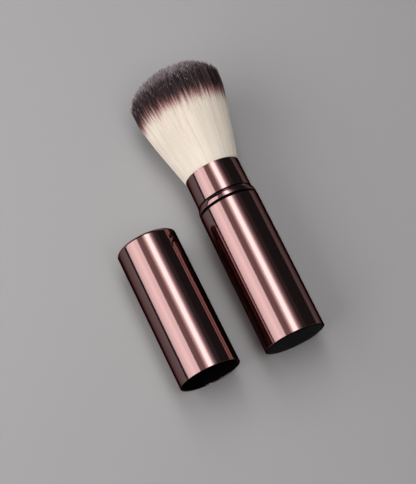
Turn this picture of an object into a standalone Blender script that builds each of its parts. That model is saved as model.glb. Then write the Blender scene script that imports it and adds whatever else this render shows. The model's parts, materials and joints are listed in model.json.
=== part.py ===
# Twist-up makeup brush, head out, with its loose cap beside it. Metres, +Z up, lying on z = 0.
# The brush and the cap are each modelled along the local Z of the empty that carries them.
from math import atan, cos, hypot, pi, radians, sin, sqrt, tan
from random import Random

import bmesh
import bpy
from mathutils.geometry import delaunay_2d_cdt

MM = 0.001

# Case: the drawn outer tube
CASE_RADIUS = 11.5 * MM
SHELL_WALL = 0.4 * MM
SHELL_FOOT = 0.25 * MM
SHELL_LIP = 0.2 * MM
EDGE_ROUND = 0.12 * MM

# Gaps between pieces: along the axis, and round the tubes
SEAT_GAP = 0.3 * MM
PRESS_GAP = 0.15 * MM
RUN_GAP = 0.25 * MM
SLIDE_GAP = 0.2 * MM

# Base plug
PLUG_FLANGE = 1.2 * MM
PLUG_SPIGOT = 1.6 * MM
PLUG_CHAMFER = 0.3 * MM

# Twist drive: a spiral tube fixed in the case, a slot tube that the neck turns, two lugs through both
TRAVEL = 46.5 * MM
TWIST_TURNS = 1.5
LUG_RADIUS = 1.1 * MM
LUG_GAP = 0.2 * MM
LUG_SHY = 0.1 * MM
LUG_RISE = 1.5 * MM
SPIRAL_WALL = 0.5 * MM
SPIRAL_RIM = 1.0 * MM
SLOT_TUBE_WALL = 0.45 * MM
RETAINER_HEIGHT = 0.8 * MM
DRAG_RING_HEIGHT = 0.8 * MM
DRAG_RING_ROUND = 0.2 * MM

# Neck: a washer on the case, a bead, a shadow groove and the thin shell
WASHER_HEIGHT = 0.4 * MM
WASHER_INSET = 0.4 * MM
BEAD_HEIGHT = 2.35 * MM
BEAD_INSET = 0.12 * MM
BEAD_TAPER = 0.45 * MM
BEAD_ROUND = 0.25 * MM
NECK_GROOVE = 0.55 * MM
NECK_WALL = 0.3 * MM
NECK_LENGTH = 11.1 * MM
MOUTH_DEPTH = 3.7 * MM

# Carriage, ferrule and the resin that holds the hair
SKIRT_HEIGHT = 7.4 * MM
SKIRT_WALL = 1.9 * MM
SKIRT_ROOF = 1.3 * MM
BOSS_HEIGHT = 5.5 * MM
FERRULE_STEP = 0.1 * MM
FERRULE_WALL = 0.3 * MM
FERRULE_LENGTH = 9.8 * MM
RESIN_DEPTH = 3.3 * MM
BACKING_DEPTH = 0.7 * MM

# Hair: rings of three-sided strands that fan out of the neck to a slightly slanted dome
STRAND_RINGS = 10
STRANDS_PER_RING = 6
STRAND_CORNER_SHARE = 0.5
ROOT_MARGIN = 0.1 * MM
HAIR_SHOW = 43.0 * MM
FLARE_RISE = 6.3 * MM
FLARE_RADIUS = 12.35 * MM
BELLY_RISE = 31.0 * MM
BELLY_RADIUS = 17.85 * MM
RIM_RADIUS = 17.6 * MM
RIM_DROP = 6.7 * MM
RIM_SLANT = -0.3 * MM
DOME_POWER = 3.0
HAIR_LEAN = 1.5 * MM
TIP_SCATTER = 0.5 * MM
SCATTER_SEED = 7

# Cap: drawn shell and its moulded liner
CAP_LENGTH = 54.3 * MM
CAP_WALL = 0.3 * MM
CAP_END_WALL = 0.4 * MM
CAP_END_ROUND = 0.6 * MM
CAP_FIT = 0.1 * MM
LINER_FIT = 0.1 * MM
LINER_RECESS = 0.4 * MM
LINER_LEAD = 0.12 * MM
LINER_SPARE = 1.0 * MM
LINER_STEP = 0.45 * MM
LINER_END_WALL = 0.6 * MM

# How the two pieces lie: the brush rests on its base edge and its hair, the cap on its side
TILT = radians(2.0)
CAP_YAW = radians(0.66)
CAP_ASIDE = 32.6 * MM
CAP_FORWARD = 0.63 * MM

# How finely things are cut
OVERRUN = 1.0 * MM
WELD = 0.0001 * MM
FACETS = 48
LUG_FACETS = 16
SPIRAL_STEPS_PER_TURN = 24
SLOT_END_STEPS = 4
SLOT_END_ANGLE = radians(80)
SHARP_ANGLE = radians(35)

# Radii of the nested tubes, from the case inwards
shell_bore = CASE_RADIUS - SHELL_WALL
spiral_radius = shell_bore - PRESS_GAP
spiral_bore = spiral_radius - SPIRAL_WALL
slot_tube_radius = spiral_bore - RUN_GAP
slot_tube_bore = slot_tube_radius - SLOT_TUBE_WALL
ring_bore = slot_tube_radius + PRESS_GAP
neck_radius = ring_bore + NECK_WALL
carriage_radius = slot_tube_bore - SLIDE_GAP
lug_reach = spiral_radius - LUG_SHY
ferrule_radius = carriage_radius - FERRULE_STEP
ferrule_bore = ferrule_radius - FERRULE_WALL
boss_radius = ferrule_bore - PRESS_GAP
root_radius = boss_radius - ROOT_MARGIN
liner_radius = CASE_RADIUS - CAP_WALL - LINER_FIT
liner_bore = neck_radius + CAP_FIT

# Stations along the brush, from the base face up
carriage_low = PLUG_FLANGE + PLUG_SPIGOT + SEAT_GAP
lug_low = carriage_low + LUG_RISE
lug_rest = lug_low + TRAVEL
slot_half = LUG_RADIUS + LUG_GAP
retainer_foot = PLUG_FLANGE + SEAT_GAP
spiral_foot = retainer_foot + RETAINER_HEIGHT + SEAT_GAP
spiral_head = lug_rest + slot_half + SPIRAL_RIM
drag_ring_foot = spiral_head + SEAT_GAP
shell_top = drag_ring_foot + DRAG_RING_HEIGHT + SHELL_LIP
washer_foot = shell_top + SEAT_GAP
bead_foot = washer_foot + WASHER_HEIGHT + SEAT_GAP
bead_top = bead_foot + BEAD_HEIGHT
neck_foot = bead_top + NECK_GROOVE
neck_top = neck_foot + NECK_LENGTH
carriage_foot = carriage_low + TRAVEL
carriage_shoulder = carriage_foot + SKIRT_HEIGHT
boss_top = carriage_shoulder + BOSS_HEIGHT
ferrule_foot = carriage_shoulder + SEAT_GAP
resin_foot = boss_top + SEAT_GAP
backing_foot = resin_foot + RESIN_DEPTH + SEAT_GAP
hair_root = backing_foot + BACKING_DEPTH
hair_tip = neck_top + HAIR_SHOW


def finish(name, color, metallic, roughness):
    material = bpy.data.materials.new(name)
    material.use_nodes = True
    shader = material.node_tree.nodes["Principled BSDF"]
    shader.inputs["Base Color"].default_value = (*color, 1.0)
    shader.inputs["Metallic"].default_value = metallic
    shader.inputs["Roughness"].default_value = roughness
    material.diffuse_color = (*color, 1.0)
    return material


def empty(name, location, rotation):
    guide = bpy.data.objects.new(name, None)
    guide.location = location
    guide.rotation_euler = rotation
    bpy.context.collection.objects.link(guide)
    return guide


def place(name, bm, material, carrier):
    """Makes the mesh an object of its own on the empty that carries it."""
    bmesh.ops.recalc_face_normals(bm, faces=bm.faces)
    mesh = bpy.data.meshes.new(name)
    bm.to_mesh(mesh)
    bm.free()
    mesh.shade_smooth()
    mesh.set_sharp_from_angle(angle=SHARP_ANGLE)
    mesh.materials.append(material)
    piece = bpy.data.objects.new(name, mesh)
    piece.parent = carrier
    bpy.context.collection.objects.link(piece)
    return piece


def corner(radius, height, size, quarter, steps=1):
    """Points of a rounded or, with one step, chamfered corner: a quarter turn that starts at quarter."""
    turns = [(quarter + step / steps) * pi / 2 for step in range(steps + 1)]
    return [(radius + size * cos(turn), height + size * sin(turn)) for turn in turns]


def turned(outline, solid=False):
    """Spins a profile of (radius, height) points about Z; a solid one has its two end rings filled."""
    bm = bmesh.new()
    points = [bm.verts.new((radius, 0, height)) for radius, height in outline]
    ends = points[1:] if solid else points[1:] + points[:1]
    lines = [bm.edges.new(pair) for pair in zip(points, ends)]
    bmesh.ops.spin(bm, geom=points + lines, cent=(0, 0, 0), axis=(0, 0, 1), angle=2 * pi,
                   steps=FACETS, use_merge=True)
    if solid:
        bmesh.ops.holes_fill(bm, edges=[edge for edge in bm.edges if edge.is_boundary], sides=0)
    return bm


def tube(bore, radius, foot, top, edge=0):
    """A tube; edge breaks its four rims, never by more than its wall allows."""
    if not edge:
        return turned([(bore, foot), (radius, foot), (radius, top), (bore, top)])
    edge = min(edge, (radius - bore) / 3, (top - foot) / 3)
    return turned([*corner(bore + edge, foot + edge, edge, 2), *corner(radius - edge, foot + edge, edge, 3),
                   *corner(radius - edge, top - edge, edge, 0), *corner(bore + edge, top - edge, edge, 1)])


def cut(piece, cutter, operation="DIFFERENCE"):
    cutter.hide_render = True
    cutter.display_type = "WIRE"
    step = piece.modifiers.new(cutter.name, "BOOLEAN")
    step.operation = operation
    step.solver = "EXACT"
    step.object = cutter


# The case and what is fixed in it

def handle_shell(metal, carrier):
    place("handle_shell", tube(shell_bore, CASE_RADIUS, SHELL_FOOT, shell_top, EDGE_ROUND), metal, carrier)


def base_plug(plastic, carrier):
    flange = shell_bore - PRESS_GAP
    spigot = slot_tube_bore - RUN_GAP
    top = PLUG_FLANGE + PLUG_SPIGOT
    outline = [(flange - PLUG_CHAMFER, 0), (flange, PLUG_CHAMFER), (flange, PLUG_FLANGE),
               (spigot, PLUG_FLANGE), (spigot, top - PLUG_CHAMFER), (spigot - PLUG_CHAMFER, top)]
    place("base_plug", turned(outline, solid=True), plastic, carrier)


def slot_edges(past, slope):
    """Inner and outer edge of a slanting slot from its middle line, at a place past its round end's centre."""
    slant = hypot(1, slope)
    full = slot_half * slant
    chord = sqrt(max(slot_half ** 2 - past ** 2, 0))
    outer = full if past * slant + slope * slot_half <= 0 else chord - slope * past
    inner = -full if past * slant - slope * slot_half <= 0 else -chord - slope * past
    return inner, outer


def spiral_cutter(name, start_turn, carrier):
    """A helical bar that follows one lug down the case, with round ends."""
    low, high = spiral_bore - OVERRUN, spiral_radius + OVERRUN
    mean = (spiral_bore + spiral_radius) / 2
    way_round = 2 * pi * mean * TWIST_TURNS
    slope = TRAVEL / way_round
    kink = atan(slope)
    sweep = SLOT_END_ANGLE + kink
    end = [slot_half * sin(sweep * step / SLOT_END_STEPS - kink) for step in range(SLOT_END_STEPS + 1)]
    count = round(TWIST_TURNS * SPIRAL_STEPS_PER_TURN)
    middle = [way_round * step / count for step in range(1, count)]
    bm = bmesh.new()
    rings = []
    for way in [-past for past in reversed(end)] + middle + [way_round + past for past in end]:
        angle = 2 * pi * start_turn + way / mean
        height = lug_rest - slope * way
        if way < way_round / 2:
            foot, top = slot_edges(-way, slope)
        else:
            top, foot = (-edge for edge in slot_edges(way - way_round, slope))
        corners = [(low, foot), (high, foot), (high, top), (low, top)]
        rings.append([bm.verts.new((radius * cos(angle), radius * sin(angle), height + up))
                      for radius, up in corners])
    for first, second in zip(rings, rings[1:]):
        for side in range(4):
            other = (side + 1) % 4
            bm.faces.new((first[side], first[other], second[other], second[side]))
    bm.faces.new(rings[0])
    bm.faces.new(rings[-1])
    return place(name, bm, guide_finish, carrier)


def spiral_tube(plastic, carrier):
    piece = place("spiral_tube", tube(spiral_bore, spiral_radius, spiral_foot, spiral_head), plastic, carrier)
    for number in range(2):
        cut(piece, spiral_cutter(f"spiral_cutter_{number}", number / 2, carrier))


def drag_ring(rubber, carrier):
    top = drag_ring_foot + DRAG_RING_HEIGHT
    bm = tube(ring_bore, shell_bore - PRESS_GAP, drag_ring_foot, top, DRAG_RING_ROUND)
    place("drag_ring", bm, rubber, carrier)


def thrust_washer(plastic, carrier):
    bm = tube(ring_bore, CASE_RADIUS - WASHER_INSET, washer_foot, washer_foot + WASHER_HEIGHT)
    place("thrust_washer", bm, plastic, carrier)


# The neck, which turns

def neck_shell(metal, carrier):
    place("neck_shell", tube(ring_bore, neck_radius, neck_foot, neck_top, EDGE_ROUND), metal, carrier)


def collar_ring(metal, carrier):
    """The bead: nearly as wide as the case at its foot, drawn in over a crowned side to its top."""
    foot_radius = CASE_RADIUS - BEAD_INSET
    top_radius = foot_radius - BEAD_TAPER
    edge = min(BEAD_ROUND, (top_radius - ring_bore) / 2, BEAD_HEIGHT / 3)
    crown = ((foot_radius + top_radius) / 2 + BEAD_TAPER / 8, (bead_foot + bead_top) / 2)
    outline = [(ring_bore, bead_foot), *corner(foot_radius - edge, bead_foot + edge, edge, 3, 2), crown,
               *corner(top_radius - edge, bead_top - edge, edge, 0, 2), (ring_bore, bead_top)]
    place("collar_ring", turned(outline), metal, carrier)


def slot_cutter(carrier):
    """A bar with round ends that cuts both straight slots at once."""
    reach = slot_tube_radius + OVERRUN
    ring = []
    for centre, quarter in ((lug_low, 2), (lug_rest, 0)):
        for step in range(2 * SLOT_END_STEPS + 1):
            angle = (quarter + step / SLOT_END_STEPS) * pi / 2
            ring.append((slot_half * cos(angle), centre + slot_half * sin(angle)))
    bm = bmesh.new()
    face = bm.faces.new([bm.verts.new((-reach, across, up)) for across, up in ring])
    grown = bmesh.ops.extrude_face_region(bm, geom=[face])["geom"]
    moved = [item for item in grown if isinstance(item, bmesh.types.BMVert)]
    bmesh.ops.translate(bm, vec=(2 * reach, 0, 0), verts=moved)
    return place("slot_cutter", bm, guide_finish, carrier)


def slot_tube(plastic, carrier):
    bm = tube(slot_tube_bore, slot_tube_radius, retainer_foot, neck_top - MOUTH_DEPTH)
    cut(place("slot_tube", bm, plastic, carrier), slot_cutter(carrier))


def retaining_ring(steel, carrier):
    bm = tube(ring_bore, shell_bore - RUN_GAP, retainer_foot, retainer_foot + RETAINER_HEIGHT)
    place("retaining_ring", bm, steel, carrier)


# The brush head, which slides in the neck

def lug_rod(name, side, carrier):
    root = carriage_radius - SKIRT_WALL / 2
    length = lug_reach - root
    bm = bmesh.new()
    bmesh.ops.create_cone(bm, cap_ends=True, segments=LUG_FACETS, radius1=LUG_RADIUS, radius2=LUG_RADIUS,
                          depth=length)
    rod = place(name, bm, guide_finish, carrier)
    rod.rotation_euler = (0, pi / 2, 0)
    rod.location = (side * (root + length / 2), 0, lug_rest)
    return rod


def carriage(plastic, carrier):
    hollow = carriage_radius - SKIRT_WALL
    outline = [(hollow, carriage_shoulder - SKIRT_ROOF), (hollow, carriage_foot), (carriage_radius, carriage_foot),
               (carriage_radius, carriage_shoulder), (boss_radius, carriage_shoulder), (boss_radius, boss_top)]
    piece = place("carriage", turned(outline, solid=True), plastic, carrier)
    for number, side in enumerate((-1, 1)):
        cut(piece, lug_rod(f"lug_rod_{number}", side, carrier), "UNION")


def ferrule(metal, carrier):
    bm = tube(ferrule_bore, ferrule_radius, ferrule_foot, ferrule_foot + FERRULE_LENGTH)
    place("ferrule", bm, metal, carrier)


def resin_plug(resin, carrier):
    bm = turned([(boss_radius, resin_foot), (boss_radius, resin_foot + RESIN_DEPTH)], solid=True)
    place("resin_plug", bm, resin, carrier)


def strand_roots():
    """Distance between rings, and (radius, angle) of every strand: one in the middle, then 6, 12 and so on."""
    pitch = root_radius / (STRAND_RINGS + STRAND_CORNER_SHARE)
    roots = [(0, 0)]
    for ring in range(1, STRAND_RINGS + 1):
        count = STRANDS_PER_RING * ring
        turns = [(number + ring % 2 / 2) / count for number in range(count)]
        roots += [(pitch * ring, 2 * pi * turn) for turn in turns]
    return pitch, roots


def lean(height):
    return HAIR_LEAN * ((height - hair_root) / (hair_tip - hair_root)) ** 2


def laid(x, y, height, half_width):
    """A point of the hair, its lower half pressed in just enough to lie on the table. Local +Y is down."""
    room = CASE_RADIUS + height * tan(TILT)
    return (x + lean(height), y * min(1, room / half_width) if y > 0 else y, height)


def grow_strand(bm, footprint, centre, shorter):
    """Carries a footprint up through the flare and the belly to a point on the dome."""
    below = footprint
    for rise, half_width in ((FLARE_RISE, FLARE_RADIUS), (BELLY_RISE, BELLY_RADIUS)):
        spread = half_width / root_radius
        ring = [bm.verts.new(laid(vertex.co.x * spread, vertex.co.y * spread, neck_top + rise, half_width))
                for vertex in footprint]
        for side in range(3):
            other = (side + 1) % 3
            bm.faces.new((below[side], below[other], ring[other], ring[side]))
        below = ring
    outermost = root_radius * STRAND_RINGS / (STRAND_RINGS + STRAND_CORNER_SHARE)
    out = hypot(*centre) / outermost
    slant = RIM_SLANT * out * centre[0] / outermost
    height = hair_tip - RIM_DROP * out ** DOME_POWER + slant - shorter
    spread = RIM_RADIUS / outermost
    apex = bm.verts.new(laid(centre[0] * spread, centre[1] * spread, height, RIM_RADIUS))
    for side in range(3):
        bm.faces.new((below[side], below[(side + 1) % 3], apex))


def round_edges(bm):
    """Edges of the backing slice's round outline, which lies just outside the outermost strands."""
    inside = (boss_radius + root_radius) / 2
    return [edge for edge in bm.edges if all(hypot(*vertex.co.xy) > inside for vertex in edge.verts)]


def bristle_head(hair, carrier):
    """Hair on a slice of its backing: every strand grows out of its own triangle in the slice's top."""
    pitch, roots = strand_roots()
    centres = [(radius * cos(angle), radius * sin(angle)) for radius, angle in roots]
    flat, triangles = [], []
    for (x, y), (_, angle) in zip(centres, roots):
        triangles.append(tuple(range(len(flat), len(flat) + 3)))
        turns = [angle + pi + 2 * pi * number / 3 for number in range(3)]
        flat += [(x + pitch * STRAND_CORNER_SHARE * cos(turn), y + pitch * STRAND_CORNER_SHARE * sin(turn))
                 for turn in turns]
    rim = [2 * pi * number / FACETS for number in range(FACETS)]
    flat += [(boss_radius * cos(turn), boss_radius * sin(turn)) for turn in rim]
    points, _, faces, _, _, sources = delaunay_2d_cdt(flat, [], triangles, 0, WELD)

    bm = bmesh.new()
    top = [bm.verts.new((*point, hair_root)) for point in points]
    footprints = {}
    for face, source in zip(faces, sources):
        if source:
            footprints[source[0]] = [top[index] for index in face]
        else:
            bm.faces.new([top[index] for index in face])
    side = bmesh.ops.extrude_edge_only(bm, edges=round_edges(bm))["geom"]
    lowered = {item for item in side if isinstance(item, bmesh.types.BMVert)}
    bmesh.ops.translate(bm, vec=(0, 0, -BACKING_DEPTH), verts=list(lowered))
    bmesh.ops.holes_fill(bm, edges=[edge for edge in bm.edges if set(edge.verts) <= lowered], sides=0)

    scatter = Random(SCATTER_SEED)
    for number, centre in enumerate(centres):
        grow_strand(bm, footprints[number], centre, scatter.uniform(0, TIP_SCATTER))
    place("bristle_head", bm, hair, carrier)


# The cap, mouth at its empty and closed end up

def cap_shell(metal, carrier):
    bore = CASE_RADIUS - CAP_WALL
    inside = CAP_LENGTH - CAP_END_WALL
    edge = min(EDGE_ROUND, CAP_WALL / 3)
    inner_round = max(CAP_END_ROUND - CAP_WALL, edge)
    outline = [*reversed(corner(bore - inner_round, inside - inner_round, inner_round, 0)),
               *corner(bore + edge, edge, edge, 2), *corner(CASE_RADIUS - edge, edge, edge, 3),
               *corner(CASE_RADIUS - CAP_END_ROUND, CAP_LENGTH - CAP_END_ROUND, CAP_END_ROUND, 0, 3)]
    place("cap_shell", turned(outline, solid=True), metal, carrier)


def cap_liner(plastic, carrier):
    """Wide enough for the neck down to a seat, then thicker as far as its closed end."""
    seat = neck_top - bead_top + LINER_SPARE
    deep_bore = liner_bore - LINER_STEP
    top = CAP_LENGTH - CAP_END_WALL - SEAT_GAP
    outline = [(deep_bore, top - LINER_END_WALL), (deep_bore, seat), (liner_bore, seat),
               (liner_bore, LINER_RECESS + LINER_LEAD), (liner_bore + LINER_LEAD, LINER_RECESS),
               (liner_radius, LINER_RECESS), (liner_radius, top - CAP_END_ROUND), (liner_radius - CAP_END_ROUND, top)]
    place("cap_liner", turned(outline, solid=True), plastic, carrier)


for old in list(bpy.data.objects):
    bpy.data.objects.remove(old)

guide_finish = finish("guide", (0.5, 0.5, 0.5), 0.0, 0.5)
case_metal = finish("bronze_metal", (0.34, 0.19, 0.18), 1.0, 0.12)
black_plastic = finish("black_plastic", (0.01, 0.01, 0.011), 0.0, 0.35)
drive_plastic = finish("drive_plastic", (0.82, 0.82, 0.78), 0.0, 0.45)
ring_rubber = finish("ring_rubber", (0.03, 0.03, 0.03), 0.0, 0.8)
ring_steel = finish("ring_steel", (0.6, 0.6, 0.6), 1.0, 0.3)
ferrule_metal = finish("ferrule_metal", (0.75, 0.75, 0.76), 1.0, 0.3)
hair_resin = finish("hair_resin", (0.75, 0.68, 0.5), 0.0, 0.4)
hair_fibre = finish("hair_fibre", (0.82, 0.76, 0.64), 0.0, 0.7)

# The origin is under the middle of the object's outer box
cap_left = -CAP_ASIDE - CAP_LENGTH * sin(CAP_YAW) - CASE_RADIUS
hair_right = RIM_RADIUS + lean(hair_tip - RIM_DROP + RIM_SLANT)
centre_x = (cap_left + hair_right) / 2
centre_y = (hair_tip * cos(TILT) - (shell_bore - PRESS_GAP) * sin(TILT)) / 2
brush_axis = empty("brush_axis", (-centre_x, -centre_y, CASE_RADIUS * cos(TILT)), (TILT - pi / 2, 0, 0))
cap_axis = empty("cap_axis", (-CAP_ASIDE - centre_x, CAP_FORWARD - centre_y, CASE_RADIUS), (-pi / 2, 0, CAP_YAW))

handle_shell(case_metal, brush_axis)
base_plug(black_plastic, brush_axis)
spiral_tube(drive_plastic, brush_axis)
drag_ring(ring_rubber, brush_axis)
thrust_washer(black_plastic, brush_axis)
neck_shell(case_metal, brush_axis)
collar_ring(case_metal, brush_axis)
slot_tube(black_plastic, brush_axis)
retaining_ring(ring_steel, brush_axis)
carriage(drive_plastic, brush_axis)
ferrule(ferrule_metal, brush_axis)
resin_plug(hair_resin, brush_axis)
bristle_head(hair_fibre, brush_axis)
cap_shell(case_metal, cap_axis)
cap_liner(black_plastic, cap_axis)

bpy.context.view_layer.update()
for axis in (brush_axis, cap_axis):
    print(axis.name, "origin", [round(value, 6) for value in axis.matrix_world.translation],
          "direction", [round(value, 6) for value in axis.matrix_world.col[2][:3]])
print("neck mouth", round(neck_top / MM, 2), "hair tip", round(hair_tip / MM, 2), "mm along the brush")
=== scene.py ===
import json
import math

import bpy
import numpy as np
from mathutils import Matrix, Vector
from mathutils.kdtree import KDTree


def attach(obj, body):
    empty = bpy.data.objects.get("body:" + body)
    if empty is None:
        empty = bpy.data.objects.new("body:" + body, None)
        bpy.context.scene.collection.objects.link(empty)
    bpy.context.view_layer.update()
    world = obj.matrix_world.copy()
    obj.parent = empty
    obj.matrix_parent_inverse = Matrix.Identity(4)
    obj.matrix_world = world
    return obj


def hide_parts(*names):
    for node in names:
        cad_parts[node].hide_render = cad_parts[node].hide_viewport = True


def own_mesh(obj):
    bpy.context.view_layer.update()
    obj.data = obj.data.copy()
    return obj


mm = 0.001

print("Loading the frame")
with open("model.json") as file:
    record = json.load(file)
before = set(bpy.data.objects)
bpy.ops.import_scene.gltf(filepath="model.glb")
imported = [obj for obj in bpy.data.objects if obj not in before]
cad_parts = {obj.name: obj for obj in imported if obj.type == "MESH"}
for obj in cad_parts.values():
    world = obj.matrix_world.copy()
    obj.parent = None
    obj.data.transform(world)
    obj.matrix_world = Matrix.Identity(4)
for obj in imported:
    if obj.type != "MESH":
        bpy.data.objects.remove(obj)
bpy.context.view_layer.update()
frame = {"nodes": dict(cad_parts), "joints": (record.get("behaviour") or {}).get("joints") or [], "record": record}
joints = {joint["name"]: joint for joint in frame["joints"]}
mounts = {mount["name"]: mount for mount in frame["record"]["mounts"]}


# Work is done standing up, with the base or the mouth at zero, and then laid along its axis
def axisMatrix(origin, along):
    z = Vector(along).normalized()
    x = (Vector((1, 0, 0)) - z * z.x).normalized()
    matrix = Matrix((x, z.cross(x), z)).transposed().to_4x4()
    matrix.translation = origin
    return matrix


capLength = 54.3 * mm
capAlong = Vector(joints["cap_pull"]["axis"])
brushAxis = axisMatrix(joints["neck_twist"]["pos_m"], joints["neck_twist"]["axis"])
capAxis = axisMatrix(Vector(mounts["cap_end_rest"]["pos_m"]) - capAlong * capLength, capAlong)


# Camera

print("Camera")
camera = {
    "target": (brushAxis.translation.x - 10.65 * mm, brushAxis.translation.y + 50.344 * mm, 0),
    "distance": 496.96 * mm,
    "azimuth": math.radians(-24.62),
    "elevation": math.radians(68.684),
    "roll": math.radians(-0.089),
    "lens": 99.76,      # on a 36 mm sensor
    "clipStart": 0.01,
}


def placeCamera(c):
    azimuth, elevation, roll = c["azimuth"], c["elevation"], c["roll"]
    level = Vector((math.cos(azimuth), math.sin(azimuth), 0))
    back = Vector((math.sin(azimuth) * math.cos(elevation), -math.cos(azimuth) * math.cos(elevation),
                   math.sin(elevation)))
    upright = back.cross(level)
    right = level * math.cos(roll) + upright * math.sin(roll)
    up = upright * math.cos(roll) - level * math.sin(roll)
    data = bpy.data.cameras.new("camera")
    data.lens = c["lens"]
    data.clip_start = c["clipStart"]
    shooter = bpy.data.objects.new("camera", data)
    bpy.context.scene.collection.objects.link(shooter)
    matrix = Matrix((right, up, back)).transposed().to_4x4()
    matrix.translation = Vector(c["target"]) + back * c["distance"]
    shooter.matrix_world = matrix
    bpy.context.scene.camera = shooter


placeCamera(camera)


# Floor and lights

print("Floor and lights")
studio = {
    "floorSize": 8.0,
    "floorColor": (0.31, 0.31, 0.313, 1),
    "floorRoughness": 0.28,
    "floorGloss": 0.0,
    "worldColor": (1, 1, 1, 1),
    "worldStrength": 0.035,
    "lampCentre": (7 * mm, -20 * mm, 11.5 * mm),
    "lampDistance": 0.45,
    "lampSlope": 0.31,    # the boxes stand this much further along the brush than straight across
}
# Angle is in degrees from straight up towards +X, spread is how wide the box looks from the brush
softboxes = {
    "overhead": {"angle": 4.0, "spread": 33, "length": 0.9, "radiance": 0.7, "color": (1, 1, 0.985)},
    "overheadMiddle": {"angle": 4.4, "spread": 25, "length": 0.9, "radiance": 1.5, "color": (1, 1, 0.985)},
    "overheadCore": {"angle": 5.2, "spread": 14.5, "length": 0.9, "radiance": 2.75, "color": (1, 1, 0.985)},
    "rightInner": {"angle": 18.3, "spread": 11, "length": 0.9, "radiance": 0.34, "color": (1, 0.80, 0.90)},
    "right": {"angle": 24.3, "spread": 11, "length": 0.9, "radiance": 0.29, "color": (1, 0.74, 0.86)},
    "rightOuter": {"angle": 33.8, "spread": 22, "length": 0.9, "radiance": 0.05, "color": (1, 0.74, 0.86)},
    "left": {"angle": -57.3, "spread": 49.5, "length": 0.72, "radiance": 2.15, "color": (1, 0.98, 0.98)},
    "leftMiddle": {"angle": -53.7, "spread": 39, "length": 0.72, "radiance": 0.45, "color": (1, 1, 1)},
    "leftCore": {"angle": -55.2, "spread": 14, "length": 0.72, "radiance": 0.42, "color": (1, 1, 1)},
    "between": {"angle": -21, "spread": 22, "length": 0.72, "radiance": 0.48, "color": (1, 0.65, 0.65)},
}


def newMaterial(name):
    material = bpy.data.materials.new(name)
    material.use_nodes = True
    return material, material.node_tree, material.node_tree.nodes["Principled BSDF"]


def addFloor():
    bpy.ops.object.select_all(action="DESELECT")
    bpy.ops.mesh.primitive_plane_add(size=studio["floorSize"])
    floor = bpy.context.object
    floor.name = "floor"
    material, tree, shader = newMaterial("floorPaper")
    shader.inputs["Base Color"].default_value = studio["floorColor"]
    shader.inputs["Roughness"].default_value = studio["floorRoughness"]
    shader.inputs["Specular IOR Level"].default_value = studio["floorGloss"]
    floor.data.materials.append(material)


def addSoftbox(name, box):
    angle = math.radians(box["angle"])
    across = Vector((math.sin(angle), 0, math.cos(angle)))
    distance = studio["lampDistance"]
    place = Vector(studio["lampCentre"]) + across * distance + Vector((0, distance * studio["lampSlope"], 0))
    data = bpy.data.lights.new(name, "AREA")
    data.shape = "RECTANGLE"
    data.size = 2 * distance * math.tan(math.radians(box["spread"] / 2))
    data.size_y = box["length"]
    data.energy = box["radiance"] * math.pi * data.size * data.size_y
    data.color = box["color"]
    lamp = bpy.data.objects.new(name, data)
    bpy.context.scene.collection.objects.link(lamp)
    along = Vector((0, 1, 0))
    matrix = Matrix((along.cross(across), along, across)).transposed().to_4x4()
    matrix.translation = place
    lamp.matrix_world = matrix
    lamp.visible_camera = False


def addWorld():
    world = bpy.data.worlds.new("studio")
    world.use_nodes = True
    shader = world.node_tree.nodes["Background"]
    shader.inputs["Color"].default_value = studio["worldColor"]
    shader.inputs["Strength"].default_value = studio["worldStrength"]
    bpy.context.scene.world = world


addFloor()
for boxName, box in softboxes.items():
    addSoftbox(boxName, box)
addWorld()
bpy.context.scene.view_settings.view_transform = "Standard"


# Materials

print("Materials")
noiseShape = {"detail": 3, "roughness": 0.6, "low": 0.3, "high": 0.7}


def makeGrainGroup():
    tree = bpy.data.node_groups.new("surfaceGrain", "ShaderNodeTree")
    for name, kind, value in (("Coordinates", "NodeSocketVector", None), ("Scale", "NodeSocketFloat", 1000),
                              ("Stretch", "NodeSocketFloat", 1), ("Low", "NodeSocketFloat", 0),
                              ("High", "NodeSocketFloat", 1)):
        socket = tree.interface.new_socket(name, in_out="INPUT", socket_type=kind)
        if value is not None:
            socket.default_value = value
    tree.interface.new_socket("Height", in_out="OUTPUT", socket_type="NodeSocketFloat")
    tree.interface.new_socket("Level", in_out="OUTPUT", socket_type="NodeSocketFloat")
    nodes, links = tree.nodes, tree.links
    given, result = nodes.new("NodeGroupInput"), nodes.new("NodeGroupOutput")
    squeeze = nodes.new("ShaderNodeCombineXYZ")
    squeeze.inputs["X"].default_value = 1
    squeeze.inputs["Y"].default_value = 1
    links.new(given.outputs["Stretch"], squeeze.inputs["Z"])
    scaled = nodes.new("ShaderNodeVectorMath")
    scaled.operation = "MULTIPLY"
    links.new(given.outputs["Coordinates"], scaled.inputs[0])
    links.new(squeeze.outputs[0], scaled.inputs[1])
    noise = nodes.new("ShaderNodeTexNoise")
    noise.inputs["Detail"].default_value = noiseShape["detail"]
    noise.inputs["Roughness"].default_value = noiseShape["roughness"]
    links.new(scaled.outputs[0], noise.inputs["Vector"])
    links.new(given.outputs["Scale"], noise.inputs["Scale"])
    level = nodes.new("ShaderNodeMapRange")
    level.inputs["From Min"].default_value = noiseShape["low"]
    level.inputs["From Max"].default_value = noiseShape["high"]
    links.new(noise.outputs["Fac"], level.inputs["Value"])
    links.new(given.outputs["Low"], level.inputs["To Min"])
    links.new(given.outputs["High"], level.inputs["To Max"])
    links.new(noise.outputs["Fac"], result.inputs["Height"])
    links.new(level.outputs["Result"], result.inputs["Level"])
    return tree


surfaceGrain = makeGrainGroup()


def addGrain(tree, coordinates, scale, stretch=1.0, low=0.0, high=1.0):
    node = tree.nodes.new("ShaderNodeGroup")
    node.node_tree = surfaceGrain
    tree.links.new(coordinates, node.inputs["Coordinates"])
    for name, value in (("Scale", scale), ("Stretch", stretch), ("Low", low), ("High", high)):
        node.inputs[name].default_value = value
    return node


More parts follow.
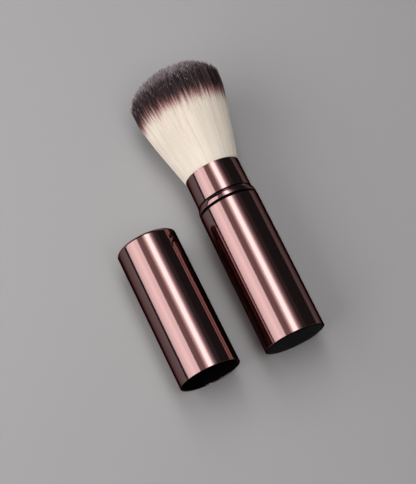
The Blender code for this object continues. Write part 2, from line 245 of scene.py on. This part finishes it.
def pieceCoordinates(tree, axis):
    # Object coordinates, turned so that Z runs along the piece
    source = tree.nodes.new("ShaderNodeTexCoord")
    mapping = tree.nodes.new("ShaderNodeMapping")
    mapping.vector_type = "TEXTURE"
    mapping.inputs["Location"].default_value = axis.translation
    mapping.inputs["Rotation"].default_value = axis.to_euler()
    tree.links.new(source.outputs["Object"], mapping.inputs["Vector"])
    return mapping.outputs["Vector"]


def blendColors(tree, factor, first, second):
    mix = tree.nodes.new("ShaderNodeMix")
    mix.data_type = "RGBA"
    tree.links.new(factor, mix.inputs["Factor"])
    # Sockets 6 and 7 are the two colours, and output 2 is the mixed one
    for socket, color in ((mix.inputs[6], first), (mix.inputs[7], second)):
        if isinstance(color, bpy.types.NodeSocket):
            tree.links.new(color, socket)
        else:
            socket.default_value = (*color, 1)
    return mix.outputs[2]


def addBump(tree, height, shader, distance, strength):
    bump = tree.nodes.new("ShaderNodeBump")
    bump.inputs["Distance"].default_value = distance
    bump.inputs["Strength"].default_value = strength
    tree.links.new(height, bump.inputs["Height"])
    tree.links.new(bump.outputs["Normal"], shader.inputs["Normal"])


# The grain runs from color to worn, and from low to high in roughness
finishes = {
    # The bronze's near-black edge tint darkens its reflections at grazing angles: painted shade on the flanks of
    # the tubes
    "bronze": {"color": (0.265, 0.163, 0.158), "worn": (0.28, 0.175, 0.17),
               "flankShadeTint": (0.06, 0.05, 0.055, 1), "metallic": 1, "low": 0.085, "high": 0.12,
               "scale": 260, "stretch": 0.05, "bump": 0.002 * mm, "strength": 0.35},
    "blackPlastic": {"color": (0.0012, 0.0012, 0.0013), "worn": (0.0026, 0.0025, 0.0027), "specular": 0.025,
                     "metallic": 0, "low": 0.5, "high": 0.6, "scale": 2500, "stretch": 1, "bump": 0.01 * mm,
                     "strength": 0.4},
    "acetal": {"color": (0.80, 0.80, 0.76), "worn": (0.84, 0.84, 0.80), "metallic": 0, "low": 0.38,
               "high": 0.5, "scale": 900, "stretch": 1, "bump": 0.01 * mm, "strength": 0.3},
    "rubber": {"color": (0.02, 0.02, 0.02), "worn": (0.035, 0.035, 0.035), "metallic": 0, "low": 0.7,
               "high": 0.9, "scale": 3000, "stretch": 1, "bump": 0.02 * mm, "strength": 0.5},
    "springSteel": {"color": (0.55, 0.55, 0.56), "worn": (0.62, 0.62, 0.62), "metallic": 1, "low": 0.24,
                    "high": 0.34, "scale": 900, "stretch": 0.1, "bump": 0.005 * mm, "strength": 0.4},
    "aluminium": {"color": (0.74, 0.74, 0.76), "worn": (0.80, 0.80, 0.81), "metallic": 1, "low": 0.22,
                  "high": 0.34, "scale": 700, "stretch": 0.05, "bump": 0.005 * mm, "strength": 0.4},
    "resin": {"color": (0.66, 0.56, 0.36), "worn": (0.74, 0.66, 0.47), "metallic": 0, "low": 0.15,
              "high": 0.3, "scale": 500, "stretch": 1, "bump": 0.03 * mm, "strength": 0.4},
}


def surface(name, finish, axis):
    f = finishes[finish]
    material, tree, shader = newMaterial(name)
    coordinates = pieceCoordinates(tree, axis)
    grain = addGrain(tree, coordinates, f["scale"], f["stretch"], f["low"], f["high"])
    shader.inputs["Metallic"].default_value = f["metallic"]
    # An edge tint paints shade into the metal's reflections towards its flanks
    if "flankShadeTint" in f:
        shader.inputs["Specular Tint"].default_value = f["flankShadeTint"]
    if "specular" in f:
        shader.inputs["Specular IOR Level"].default_value = f["specular"]
    tone = blendColors(tree, grain.outputs["Height"], f["color"], f["worn"])
    tree.links.new(tone, shader.inputs["Base Color"])
    tree.links.new(grain.outputs["Level"], shader.inputs["Roughness"])
    addBump(tree, grain.outputs["Height"], shader, f["bump"], f["strength"])
    return material


bronzeOfBrush = surface("bronzeOfBrush", "bronze", brushAxis)
bronzeOfCap = surface("bronzeOfCap", "bronze", capAxis)
blackOfBrush = surface("blackOfBrush", "blackPlastic", brushAxis)
blackOfCap = surface("blackOfCap", "blackPlastic", capAxis)

hiddenFinishes = {
    "spiral_tube": "acetal",
    "carriage": "acetal",
    "drag_ring": "rubber",
    "retaining_ring": "springSteel",
    "ferrule": "aluminium",
    "resin_plug": "resin",
    "slot_tube": "blackPlastic",
}
for node, finish in hiddenFinishes.items():
    frame["nodes"][node].data.materials.clear()
    frame["nodes"][node].data.materials.append(surface(node + "Finish", finish, brushAxis))


# Turned pieces

turning = {
    "sides": 192,
    "cornerSteps": 4,
    "weld": 0.0001 * mm,
    "smoothAngle": math.radians(40),
}


# A rounded corner of an outline: quarter 0 is its outer top, 1 inner top, 2 inner foot, 3 outer foot
def corner(radius, height, size, quarter, steps=turning["cornerSteps"]):
    angles = [(quarter + step / steps) * math.pi / 2 for step in range(steps + 1)]
    return [(radius + size * math.cos(angle), height + size * math.sin(angle)) for angle in angles]


def roundedTube(t):
    inner, outer = t["bore"] + t["edge"], t["radius"] - t["edge"]
    low, high = t["foot"] + t["edge"], t["top"] - t["edge"]
    return [*corner(inner, low, t["edge"], 2), *corner(outer, low, t["edge"], 3),
            *corner(outer, high, t["edge"], 0), *corner(inner, high, t["edge"], 1)]


def turn(name, outline, axis, material, solid=False):
    # A ring of the first outline point is extruded and widened from point to point
    bpy.ops.object.select_all(action="DESELECT")
    radius, height = outline[0]
    bpy.ops.mesh.primitive_circle_add(vertices=turning["sides"], radius=radius, location=(0, 0, height),
                                      fill_type="NGON" if solid else "NOTHING")
    piece = bpy.context.object
    bpy.ops.object.transform_apply(location=True)
    bpy.ops.object.mode_set(mode="EDIT")
    rings = outline[1:] if solid else outline[1:] + outline[:1]
    for newRadius, newHeight in rings:
        bpy.ops.mesh.extrude_edges_move(TRANSFORM_OT_translate={"value": (0, 0, newHeight - height)})
        grow = newRadius / radius
        bpy.ops.transform.resize(value=(grow, grow, 1), center_override=(0, 0, newHeight))
        radius, height = newRadius, newHeight
    if solid:
        bpy.ops.mesh.edge_face_add()
    bpy.ops.mesh.select_all(action="SELECT")
    bpy.ops.mesh.remove_doubles(threshold=turning["weld"])
    bpy.ops.mesh.normals_make_consistent(inside=False)
    bpy.ops.object.mode_set(mode="OBJECT")
    bpy.ops.object.shade_smooth_by_angle(angle=turning["smoothAngle"])
    piece.name = name
    piece.data.name = name
    piece.matrix_world = axis
    bpy.ops.object.transform_apply(location=True, rotation=True, scale=True)
    piece.data.materials.clear()
    piece.data.materials.append(material)
    return piece


def settle(piece, body, node):
    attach(piece, body)
    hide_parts(node)


print("Case")
case = {"bore": 11.1 * mm, "radius": 11.5 * mm, "foot": 0.25 * mm, "top": 54.7 * mm, "edge": 0.13 * mm}
caseShell = turn("caseShell", roundedTube(case), brushAxis, bronzeOfBrush)
settle(caseShell, "handle", "handle_shell")

plug = {"radius": 10.95 * mm, "flange": 1.2 * mm, "spigot": 9.5 * mm, "top": 2.8 * mm, "edge": 0.3 * mm}
plugOutline = [*corner(plug["radius"] - plug["edge"], plug["edge"], plug["edge"], 3),
               (plug["radius"], plug["flange"]), (plug["spigot"], plug["flange"]),
               *corner(plug["spigot"] - plug["edge"], plug["top"] - plug["edge"], plug["edge"], 0)]
basePlug = turn("basePlug", plugOutline, brushAxis, blackOfBrush, solid=True)
settle(basePlug, "handle", "base_plug")

washer = {"bore": 10.35 * mm, "radius": 11.1 * mm, "foot": 55.0 * mm, "top": 55.4 * mm, "edge": 0.08 * mm}
washerRing = turn("washerRing", roundedTube(washer), brushAxis, blackOfBrush)
settle(washerRing, "handle", "thrust_washer")

print("Neck")
bead = {"bore": 10.35 * mm, "foot": 55.7 * mm, "top": 58.05 * mm, "footRadius": 11.38 * mm,
        "topRadius": 10.93 * mm, "edge": 0.25 * mm, "crown": 0.09 * mm, "crownSteps": 8}


def beadOutline(b):
    low, high = b["foot"] + b["edge"], b["top"] - b["edge"]
    side = []
    for step in range(1, b["crownSteps"]):
        share = step / b["crownSteps"]
        radius = b["footRadius"] + (b["topRadius"] - b["footRadius"]) * share
        swell = b["crown"] * 4 * share * (1 - share)      # fullest halfway up
        side.append((radius + swell, low + (high - low) * share))
    return [(b["bore"], b["foot"]), *corner(b["footRadius"] - b["edge"], low, b["edge"], 3), *side,
            *corner(b["topRadius"] - b["edge"], high, b["edge"], 0), (b["bore"], b["top"])]


beadRing = turn("beadRing", beadOutline(bead), brushAxis, bronzeOfBrush)
settle(beadRing, "neck", "collar_ring")

neck = {"bore": 10.35 * mm, "radius": 10.65 * mm, "foot": 58.6 * mm, "top": 69.7 * mm, "edge": 0.1 * mm}
neckShell = turn("neckShell", roundedTube(neck), brushAxis, bronzeOfBrush)
settle(neckShell, "neck", "neck_shell")

print("Cap")
capSizes = {"radius": 11.5 * mm, "wall": 0.3 * mm, "endWall": 0.4 * mm, "endRound": 1.2 * mm,
            "roundSteps": 8, "edge": 0.1 * mm}


def capOutline(c):
    bore = c["radius"] - c["wall"]
    inside = capLength - c["endWall"]
    innerRound = c["endRound"] - c["wall"]
    return [*reversed(corner(bore - innerRound, inside - innerRound, innerRound, 0)),
            *corner(bore + c["edge"], c["edge"], c["edge"], 2),
            *corner(c["radius"] - c["edge"], c["edge"], c["edge"], 3),
            *corner(c["radius"] - c["endRound"], capLength - c["endRound"], c["endRound"], 0,
                    c["roundSteps"])]


capShell = turn("capShell", capOutline(capSizes), capAxis, bronzeOfCap, solid=True)
settle(capShell, "cap", "cap_shell")

liner = {"radius": 11.1 * mm, "bore": 10.75 * mm, "deepBore": 10.3 * mm, "recess": 0.4 * mm,
         "lead": 0.12 * mm, "seat": 12.65 * mm, "top": 53.6 * mm, "endWall": 0.6 * mm, "edge": 0.6 * mm}
linerOutline = [(liner["deepBore"], liner["top"] - liner["endWall"]), (liner["deepBore"], liner["seat"]),
                (liner["bore"], liner["seat"]), (liner["bore"], liner["recess"] + liner["lead"]),
                (liner["bore"] + liner["lead"], liner["recess"]), (liner["radius"], liner["recess"]),
                *corner(liner["radius"] - liner["edge"], liner["top"] - liner["edge"], liner["edge"], 0)]
capLiner = turn("capLiner", linerOutline, capAxis, blackOfCap, solid=True)
settle(capLiner, "cap", "cap_liner")


# Hair

print("Hair")
hair = {
    "strands": 42000,
    "sectors": 30,
    "sides": 3,
    "radius": 0.066 * mm,
    "pointRadius": 0.00001 * mm,
    "weld": 0.00005 * mm,
    "seed": 11,
    "shareJitter": 0.004,        # as a share of the head's radius, as the next is
    "leastShare": 0.002,
    "tip": 112.0 * mm,
    "drop": 6.7 * mm,
    "dropPower": 3.0,
    "slant": -0.3 * mm,
    "lean": 1.5 * mm,
    "leanPower": 3.5,
    "tufts": 12000,
    "tuftJitter": 0.3,           # divided by the root of their number
    "tuftPull": 0.5,
    "tuftPullPower": 4,
    "tuftLift": 0.5 * mm,
    "tuftWander": 0.25 * mm,
    "tuftWanderPower": 3,
    "wander": 0.24 * mm,
    "wanderPower": 2,
    "mostClimb": 1.1,            # climb is 0 at the neck's mouth and 1 at the dome's top
    "shortfall": 0.45 * mm,      # most hairs end this much below the dome, a few stand out of it
    "rimShortfall": 1.3 * mm,
    "rimPower": 6,
    "mostShort": 4.0 * mm,
    "strayShare": 0.09,
    "strayLift": 1.0 * mm,
    "strayOut": 0.02,
    "strayRadius": 1.1,
    "mouth": 69.7 * mm,
    # half-width of the whole head at stations along the brush, both in mm
    "stations": [66.5, 69.55, 70.4, 76.3, 86.3, 94.0, 100.5, 106.0, 112.0],
    "halfWidths": [8.8, 10.2, 10.95, 12.3, 14.85, 16.6, 17.75, 17.6, 17.5],
    # a strand's points: in the neck and at its mouth in mm, then as shares of the way to the tip
    "roots": [66.5, 69.55, 70.4],
    "shares": [0.48, 0.8, 0.965, 1.0],
    "taper": [0.0, 1.0, 1.0, 1.0, 1.0, 0.8, 0.0],
    "squeezedRadius": 8.9 * mm,
    "axisHeight": 11.5 * mm,     # of the brush's axis over the table, at the base
    "axisRise": math.radians(2),
    "tableGap": 0.1 * mm,
    "softness": 0.5,
    "outwardSpread": 0.5,        # below the tip the softened normals lean outwards more with each mm
    "outwardFade": 3,            # and upwards less
    "toneMix": (0.15, 0.85),     # shares of the tuft's tone and the hair's own
    "fleckMix": (0.75, 0.25),
    "fleckPower": 3,
    "toneSteps": 12,
    "roughness": 0.5,
    "specular": 0.2,
}
tint = {
    "start": 93.15 * mm,     # higher towards the left
    "slant": -0.65 * mm,
    "sideRise": 0.1 * mm,
    "jitter": 0.85 * mm,
    "tuftJitter": 0.55 * mm,
    "most": 3.0 * mm,
    "deepShare": 0.02,       # some hairs are tinted much further down
    "deepBy": 3.5 * mm,
    # Painted shade: the tips on the right, the side away from the main lamps, are kept less pale
    "rightTipShade": 0.6 * mm,  # the tips on the right are less pale
    # each colour comes in between these mm past the start, and the lilac between these below the tip
    # creamFade is where the cream takes over from the root colour, which is painted shade
    "creamFade": (-24, -5),
    "rustFade": (-0.8, 1.9),
    "plumFade": (1.4, 3.9),
    "lilacFade": (1.5, 0.1),
    # The root colour is darker than the cream: painted shade on the hair near the neck's mouth, where the rim
    # shades it
    "root": ((0.67, 0.60, 0.51), (0.79, 0.735, 0.66)),       # deeper and paler hairs
    "cream": ((0.70, 0.615, 0.51), (0.88, 0.82, 0.735)),
    "rust": ((0.22, 0.075, 0.075), (0.50, 0.215, 0.205)),
    "plum": ((0.005, 0.0015, 0.002), (0.13, 0.072, 0.084)),
    "lilac": ((0.13, 0.10, 0.112), (0.90, 0.78, 0.83)),
}


def hairMaterial():
    material, tree, shader = newMaterial("hairFibre")

    def attribute(name):
        node = tree.nodes.new("ShaderNodeAttribute")
        node.attribute_name = name
        return node.outputs["Fac"]

    def rise(source, fade):
        node = tree.nodes.new("ShaderNodeMapRange")
        tree.links.new(source, node.inputs["Value"])
        node.inputs["From Min"].default_value = fade[0]
        node.inputs["From Max"].default_value = fade[1]
        return node.outputs["Result"]

    tone, fleck = attribute("strandTone"), attribute("fleck")
    past, tipGapAndShade = attribute("tintRise"), attribute("tipGapAndShade")
    # Towards the neck's mouth the cream gives way to the darker root colour, painted shade from the neck's rim
    color = blendColors(tree, rise(past, tint["creamFade"]), blendColors(tree, tone, *tint["root"]),
                        blendColors(tree, tone, *tint["cream"]))
    color = blendColors(tree, rise(past, tint["rustFade"]), color, blendColors(tree, tone, *tint["rust"]))
    color = blendColors(tree, rise(past, tint["plumFade"]), color, blendColors(tree, fleck, *tint["plum"]))
    color = blendColors(tree, rise(tipGapAndShade, tint["lilacFade"]), color, blendColors(tree, tone, *tint["lilac"]))
    tree.links.new(color, shader.inputs["Base Color"])
    shader.inputs["Roughness"].default_value = hair["roughness"]
    shader.inputs["Specular IOR Level"].default_value = hair["specular"]
    return material


def outerWidth(station):
    return np.interp(station / mm, hair["stations"], hair["halfWidths"]) * mm


def growHair():
    rng = np.random.default_rng(hair["seed"])
    count = hair["strands"]
    golden = math.pi * (3 - math.sqrt(5))
    order = np.arange(count)
    share = np.sqrt((order + 0.5) / count)              # even over the round root
    angle = (order * golden) % (2 * math.pi)
    share = np.clip(share + rng.normal(0, hair["shareJitter"], count), hair["leastShare"], 1)
    tuftOrder = np.arange(hair["tufts"])
    tuftShare = np.sqrt((tuftOrder + 0.5) / hair["tufts"])
    tuftAngle = (tuftOrder * golden) % (2 * math.pi)
    tuftSpots = np.stack([tuftShare * np.cos(tuftAngle), tuftShare * np.sin(tuftAngle)], 1)
    tuftSpots += rng.normal(0, hair["tuftJitter"] / math.sqrt(hair["tufts"]), tuftSpots.shape)
    spots = np.stack([share * np.cos(angle), share * np.sin(angle)], 1)
    finder = KDTree(hair["tufts"])
    for number, spot in enumerate(tuftSpots):
        finder.insert((*spot, 0), number)
    finder.balance()
    nearest = np.array([finder.find((*spot, 0))[1] for spot in spots])
    pulled = tuftSpots[nearest]
    tuftLift = rng.normal(0, hair["tuftLift"], hair["tufts"])[nearest]
    tuftTone = rng.uniform(0, 1, hair["tufts"])[nearest]
    tuftTint = rng.normal(0, tint["tuftJitter"], hair["tufts"])[nearest]
    tuftWander = rng.normal(0, hair["tuftWander"], (2, hair["tufts"], 1))[:, nearest]

    stray = rng.uniform(0, 1, count) < hair["strayShare"]
    shortfall = hair["shortfall"] + (hair["rimShortfall"] - hair["shortfall"]) * share ** hair["rimPower"]
    short = np.minimum(rng.exponential(1, count) * shortfall, hair["mostShort"])
    short = np.where(stray, -hair["strayLift"] * rng.uniform(0, 1, count), short)
    tip = (hair["tip"] - hair["drop"] * share ** hair["dropPower"] + hair["slant"] * share * spots[:, 0]
           + tuftLift - short)
    roots = np.array(hair["roots"]) * mm
    shares = np.array(hair["shares"])
    stations = np.concatenate([np.tile(roots, (count, 1)),
                               roots[-1] + (tip[:, None] - roots[-1]) * shares[None]], 1)
    climb = np.clip((stations - hair["mouth"]) / (hair["tip"] - hair["mouth"]), 0, hair["mostClimb"])
    pull = hair["tuftPull"] * climb ** hair["tuftPullPower"]
    x = spots[:, :1] * (1 - pull) + pulled[:, :1] * pull
    y = spots[:, 1:] * (1 - pull) + pulled[:, 1:] * pull
    width = outerWidth(stations) * (1 + hair["strayOut"] * climb * stray[:, None])
    wander = tuftWander * climb ** hair["tuftWanderPower"]
    wander = wander + rng.normal(0, hair["wander"], (2, *stations.shape)) * climb ** hair["wanderPower"]
    x = x * width + hair["lean"] * climb ** hair["leanPower"] + wander[0]
    y = y * width + wander[1]
    room = hair["axisHeight"] + stations * math.tan(hair["axisRise"]) - hair["tableGap"]
    y = np.where(y > 0, y * np.minimum(1, room / width), y)               # pressed flat on the table
    y = np.minimum(y, room)
    thickness = hair["radius"] * np.where(stray, hair["strayRadius"], 1)
    radius = np.maximum(thickness[:, None] * np.array(hair["taper"]), hair["pointRadius"])
    jitter = np.clip(tuftTint + rng.laplace(0, tint["jitter"], count), -tint["most"], tint["most"])
    deep = np.where(rng.uniform(0, 1, count) < tint["deepShare"], rng.exponential(tint["deepBy"], count), 0)
    start = tint["start"] + tint["slant"] * spots[:, 0] + tint["sideRise"] * spots[:, 0] ** 2 + jitter - deep
    strandTone = rng.uniform(0, 1, count)
    fleck = (hair["fleckMix"][0] * tuftTone + hair["fleckMix"][1] * strandTone) ** hair["fleckPower"]
    tone = hair["toneMix"][0] * tuftTone + hair["toneMix"][1] * strandTone
    # the head's own outward direction, which softens the shading of the single hairs
    gap = (tip[:, None] - stations) / mm
    spread = share[:, None] + gap * hair["outwardSpread"]
    rounded = np.stack([spots[:, :1] * spread, spots[:, 1:] * spread, np.exp(-gap / hair["outwardFade"])], 2)
    return {
        "points": np.stack([x, y, stations], 2),
        "outward": rounded / np.linalg.norm(rounded, axis=2, keepdims=True),
        "radius": radius,
        "angle": angle,
        "start": start,
        "tintRise": (stations - start[:, None]) / mm,
        # the gap to the tip, plus painted shade that holds the lilac back on the right side
        "tipGapAndShade": (tip[:, None] - stations + tint["rightTipShade"] * np.clip(spots[:, :1], 0, 1)) / mm,
        "strandTone": np.repeat(tone[:, None], stations.shape[1], 1),
        "fleck": np.repeat(fleck[:, None], stations.shape[1], 1),
    }


def strandSection():
    # Three-cornered section that the strands are drawn with
    bpy.ops.object.select_all(action="DESELECT")
    bpy.ops.curve.primitive_bezier_circle_add()
    section = bpy.context.object
    section.name = "strandSection"
    section.data.splines.clear()
    spline = section.data.splines.new("POLY")
    spline.points.add(hair["sides"] - 1)
    for number, point in enumerate(spline.points):
        angle = 2 * math.pi * number / hair["sides"]
        point.co = (math.cos(angle), -math.sin(angle), 0, 1)
    spline.use_cyclic_u = True
    return section


def drawStrands(name, strands, chosen, section, material):
    bpy.ops.object.select_all(action="DESELECT")
    bpy.ops.curve.primitive_bezier_curve_add()
    lock = bpy.context.object
    lock.name = name
    data = lock.data
    data.splines.clear()
    data.dimensions = "3D"
    data.bevel_mode = "OBJECT"
    data.bevel_object = section
    perStrand = strands["points"].shape[1]
    for number in chosen:
        spline = data.splines.new("POLY")
        spline.points.add(perStrand - 1)
        flat = np.ones((perStrand, 4))
        flat[:, :3] = strands["points"][number]
        spline.points.foreach_set("co", flat.ravel())
        spline.points.foreach_set("radius", strands["radius"][number])
        spline.use_smooth = True
    bpy.ops.object.convert(target="MESH")
    piece = bpy.context.object
    mesh = piece.data
    sides = len(mesh.vertices) // (len(chosen) * perStrand)
    for attributeName in ("tintRise", "tipGapAndShade", "strandTone", "fleck"):
        values = np.repeat(strands[attributeName][chosen].ravel(), sides)
        attribute = mesh.attributes.new(attributeName, "FLOAT", "POINT")
        attribute.data.foreach_set("value", values.astype(np.float32))
    mapHairs(mesh, strands["points"][chosen][:, :, 2], sides)
    attribute = mesh.attributes.new("outward", "FLOAT_VECTOR", "POINT")
    values = np.repeat(strands["outward"][chosen].reshape(-1, 3), sides, 0)
    attribute.data.foreach_set("vector", values.astype(np.float32).ravel())
    bpy.ops.object.mode_set(mode="EDIT")
    bpy.ops.mesh.select_all(action="SELECT")
    bpy.ops.mesh.remove_doubles(threshold=hair["weld"])     # closes both ends of each strand
    bpy.ops.object.mode_set(mode="OBJECT")
    piece.matrix_world = brushAxis
    bpy.ops.object.transform_apply(location=True, rotation=True, scale=True)
    mesh.materials.clear()
    mesh.materials.append(material)
    soften(mesh)
    return piece


def mapHairs(mesh, stations, sides):
    # A column of the map for each hair, which runs up from its root
    count, perStrand = stations.shape
    while mesh.uv_layers:
        mesh.uv_layers.remove(mesh.uv_layers[0])
    vertexOf = np.empty(len(mesh.loops), dtype=np.int32)
    mesh.loops.foreach_get("vertex_index", vertexOf)
    column = vertexOf // (perStrand * sides)
    side = vertexOf % sides
    starts = np.empty(len(mesh.polygons), dtype=np.int32)
    mesh.polygons.foreach_get("loop_start", starts)
    polygonOf = np.repeat(np.arange(len(starts)), np.diff([*starts, len(vertexOf)]))
    wraps = np.maximum.reduceat(side, starts)[polygonOf] - np.minimum.reduceat(side, starts)[polygonOf] > 1
    side = np.where(wraps & (side == 0), sides, side)
    heights = (stations - stations.min()) / (stations.max() - stations.min())
    u = (column + side / sides) / count
    v = np.repeat(heights.ravel(), sides)[vertexOf]
    layer = mesh.uv_layers.new(name="OFBake")
    layer.data.foreach_set("uv", np.stack([u, v], 1).astype(np.float32).ravel())


def soften(mesh):
    # Normals between each hair's own and the whole head's
    count = len(mesh.vertices)
    own, outward = np.empty(count * 3), np.empty(count * 3)
    mesh.vertices.foreach_get("normal", own)
    mesh.attributes["outward"].data.foreach_get("vector", outward)
    outward = outward.reshape(-1, 3) @ np.array(brushAxis.to_3x3()).T
    mixed = own.reshape(-1, 3) * (1 - hair["softness"]) + outward * hair["softness"]
    mixed /= np.linalg.norm(mixed, axis=1, keepdims=True)
    mesh.attributes.remove(mesh.attributes["outward"])
    mesh.normals_split_custom_set_from_vertices(mixed.tolist())


strands = growHair()
section = strandSection()
fibre = hairMaterial()
sectorOf = (strands["angle"] / (2 * math.pi) * hair["sectors"]).astype(int) % hair["sectors"]
for sector in range(hair["sectors"]):
    chosen = np.flatnonzero(sectorOf == sector)
    steps = (strands["strandTone"][chosen, 0] * hair["toneSteps"]).astype(int)
    chosen = chosen[np.lexsort((strands["start"][chosen], steps))]      # hairs of like colour side by side
    lock = drawStrands(f"hairLock{sector:02d}", strands, chosen, section, fibre)
    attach(lock, "brush_head")
    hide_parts("bristle_head")
    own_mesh(lock)
bpy.data.objects.remove(section)

print("Sizes")
